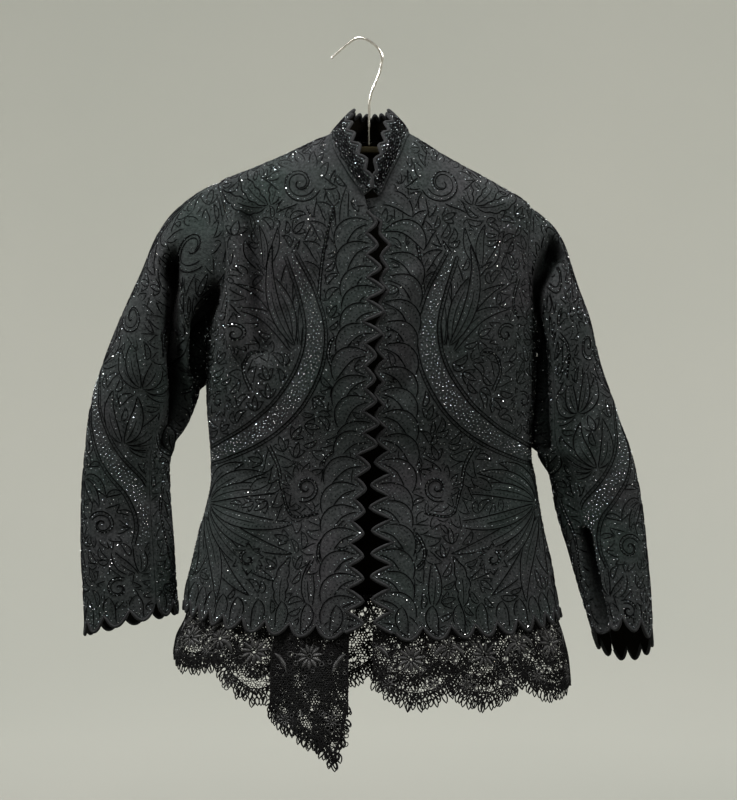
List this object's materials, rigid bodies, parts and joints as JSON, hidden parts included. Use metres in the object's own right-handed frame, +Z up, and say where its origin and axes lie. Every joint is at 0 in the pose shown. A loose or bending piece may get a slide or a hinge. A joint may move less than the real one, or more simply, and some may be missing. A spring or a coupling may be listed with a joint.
{
  "type": "evening jacket on a hanger",
  "caption": "Fitted evening jacket of black embroidered wool with toothed edges, a stand collar and a lace flounce, hanging on a wire-hooked hanger.",
  "frame": {"origin": "underside of the hanger's hook at its apex, where a rail or peg holds it", "axes": "+Z up, the front faces -Y, the wearer's left is +X"},
  "size_m": [0.7138, 0.1727, 0.9056],
  "materials": {
    "wool": "matte napped wool with black cord and bead embroidery",
    "lace": "black silk lace with open gaps",
    "hook": "polished wire with a warm tint",
    "bar": "plain dark wood"
  },
  "bodies": {
    "root": {"front_right": "wool", "front_left": "wool", "back": "wool", "collar": "wool", "sleeve_top_right": "wool", "sleeve_under_right": "wool", "sleeve_top_left": "wool", "sleeve_under_left": "wool", "lace_front_right": "lace", "lace_tail_right": "lace", "lace_front_left": "lace", "lace_back": "lace", "hanger_hook": "hook", "hanger_bar": "bar"}
  },
  "joints": []
}
